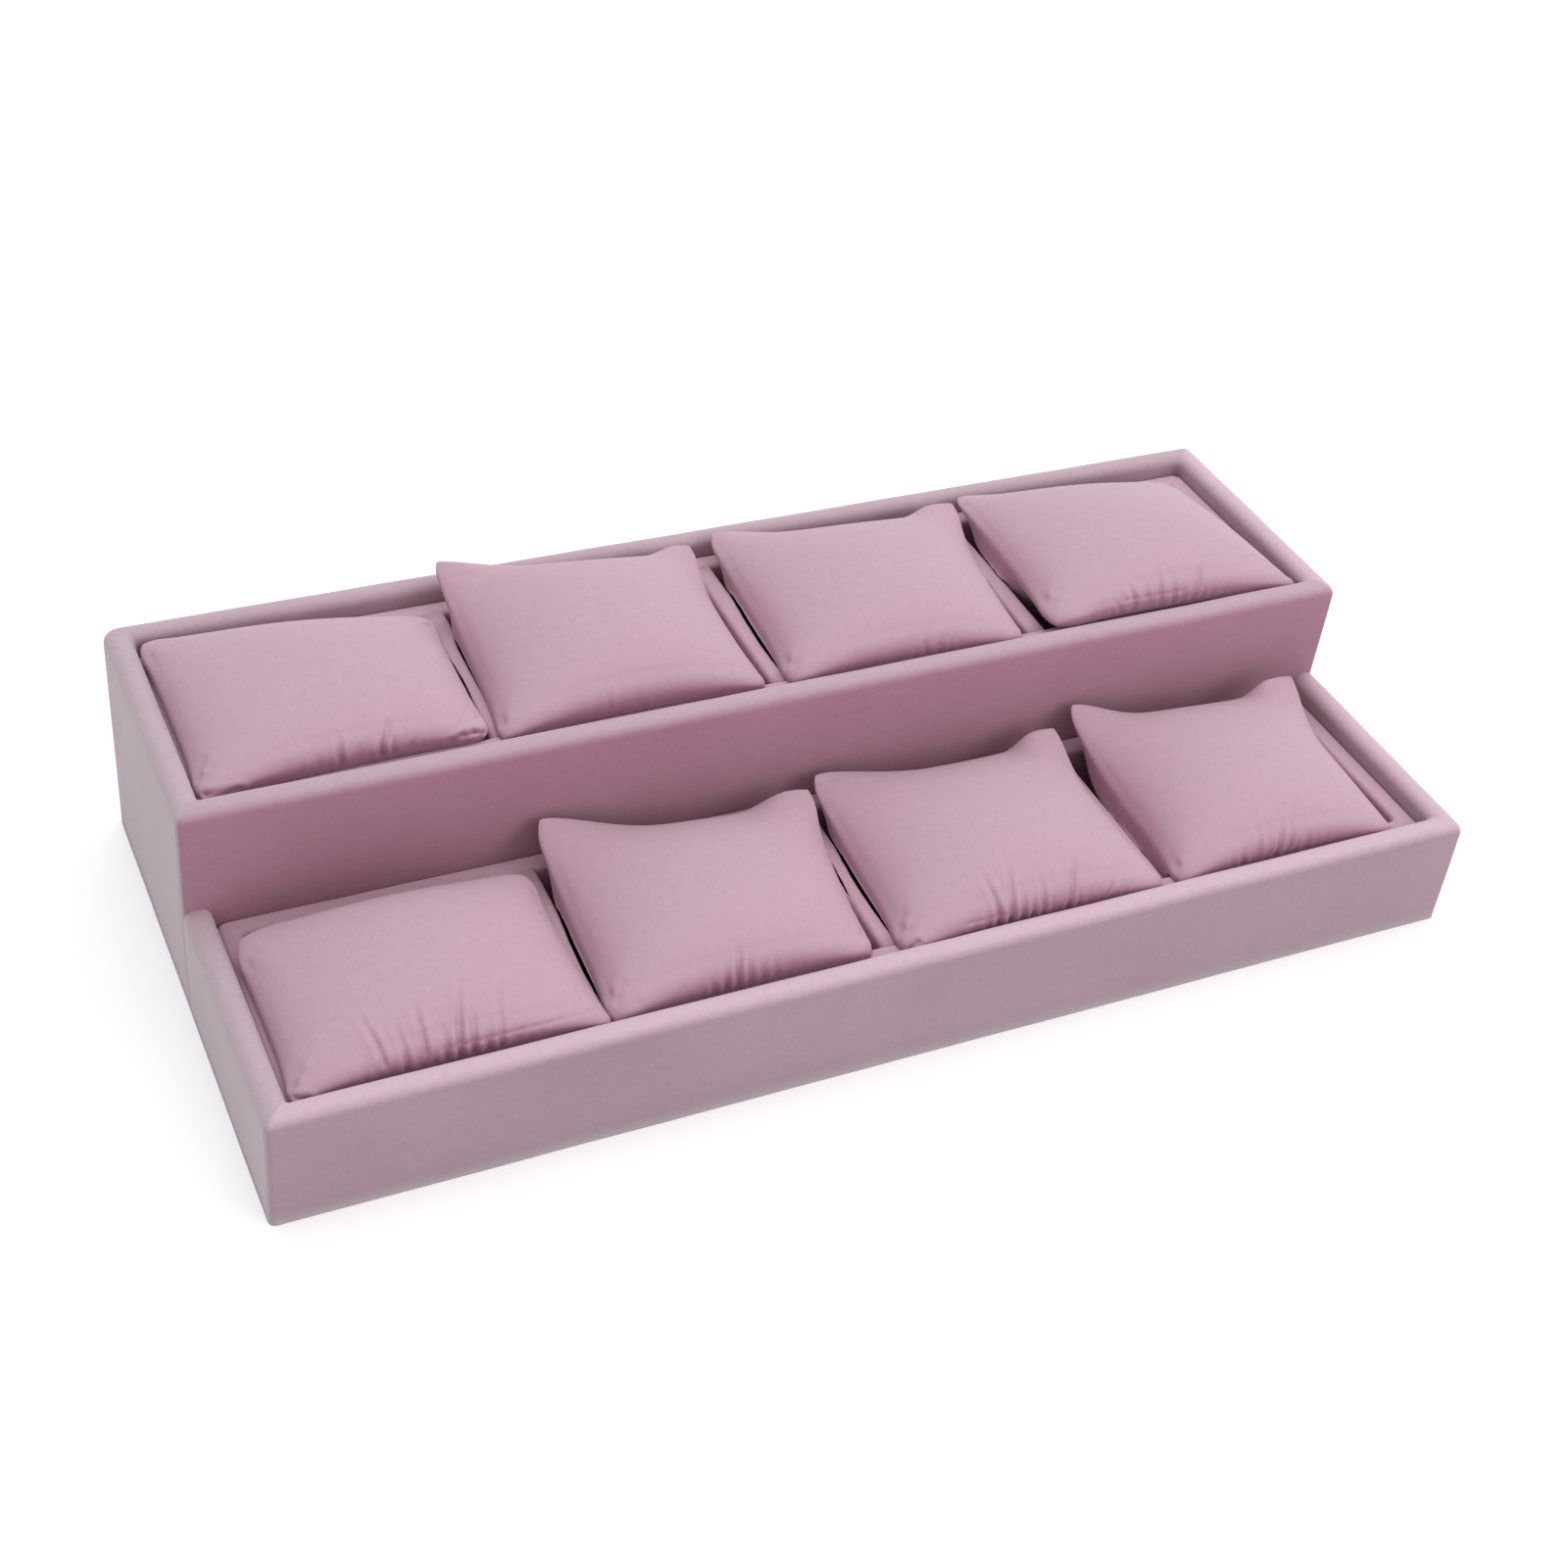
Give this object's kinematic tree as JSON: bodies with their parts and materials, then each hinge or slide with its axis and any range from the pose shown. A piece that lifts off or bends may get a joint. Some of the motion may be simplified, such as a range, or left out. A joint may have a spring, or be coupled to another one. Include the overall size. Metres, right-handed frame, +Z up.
{
  "type": "watch display tray",
  "caption": "Two-tier velvet-covered watch display tray with a divided insert in each tier and stuffed pillows resting in its pockets.",
  "frame": {"origin": "bottom centre of the tray, on the surface that it stands on", "axes": "+X along the tray's length, +Z up; the low front faces -Y and the raised tier is towards +Y"},
  "size_m": [0.4202, 0.1964, 0.0946],
  "materials": {
    "wall_velvet": "dusty pink short-pile velvet over padded board",
    "insert_velvet": "dusty pink short-pile velvet over thin strips",
    "pillow_velvet": "dusty pink short-pile velvet, stuffed",
    "deck_board": "plain fibreboard",
    "base_felt": "matt felt lining"
  },
  "bodies": {
    "root": {"back_wall": "wall_velvet", "base_cover": "base_felt", "front_wall": "wall_velvet", "left_side_wall": "wall_velvet", "lower_back_strip": "insert_velvet", "lower_deck": "deck_board", "lower_divider_1": "insert_velvet", "lower_divider_2": "insert_velvet", "lower_divider_3": "insert_velvet", "lower_front_strip": "insert_velvet", "lower_insert_floor": "insert_velvet", "lower_left_strip": "insert_velvet", "lower_pillow_1": "pillow_velvet", "lower_pillow_2": "pillow_velvet", "lower_pillow_3": "pillow_velvet", "lower_pillow_4": "pillow_velvet", "lower_right_strip": "insert_velvet", "right_side_wall": "wall_velvet", "riser_wall": "wall_velvet", "upper_back_strip": "insert_velvet", "upper_deck": "deck_board", "upper_divider_1": "insert_velvet", "upper_divider_2": "insert_velvet", "upper_divider_3": "insert_velvet", "upper_front_strip": "insert_velvet", "upper_insert_floor": "insert_velvet", "upper_left_strip": "insert_velvet", "upper_pillow_1": "pillow_velvet", "upper_pillow_2": "pillow_velvet", "upper_pillow_3": "pillow_velvet", "upper_pillow_4": "pillow_velvet", "upper_right_strip": "insert_velvet"}
  },
  "joints": []
}
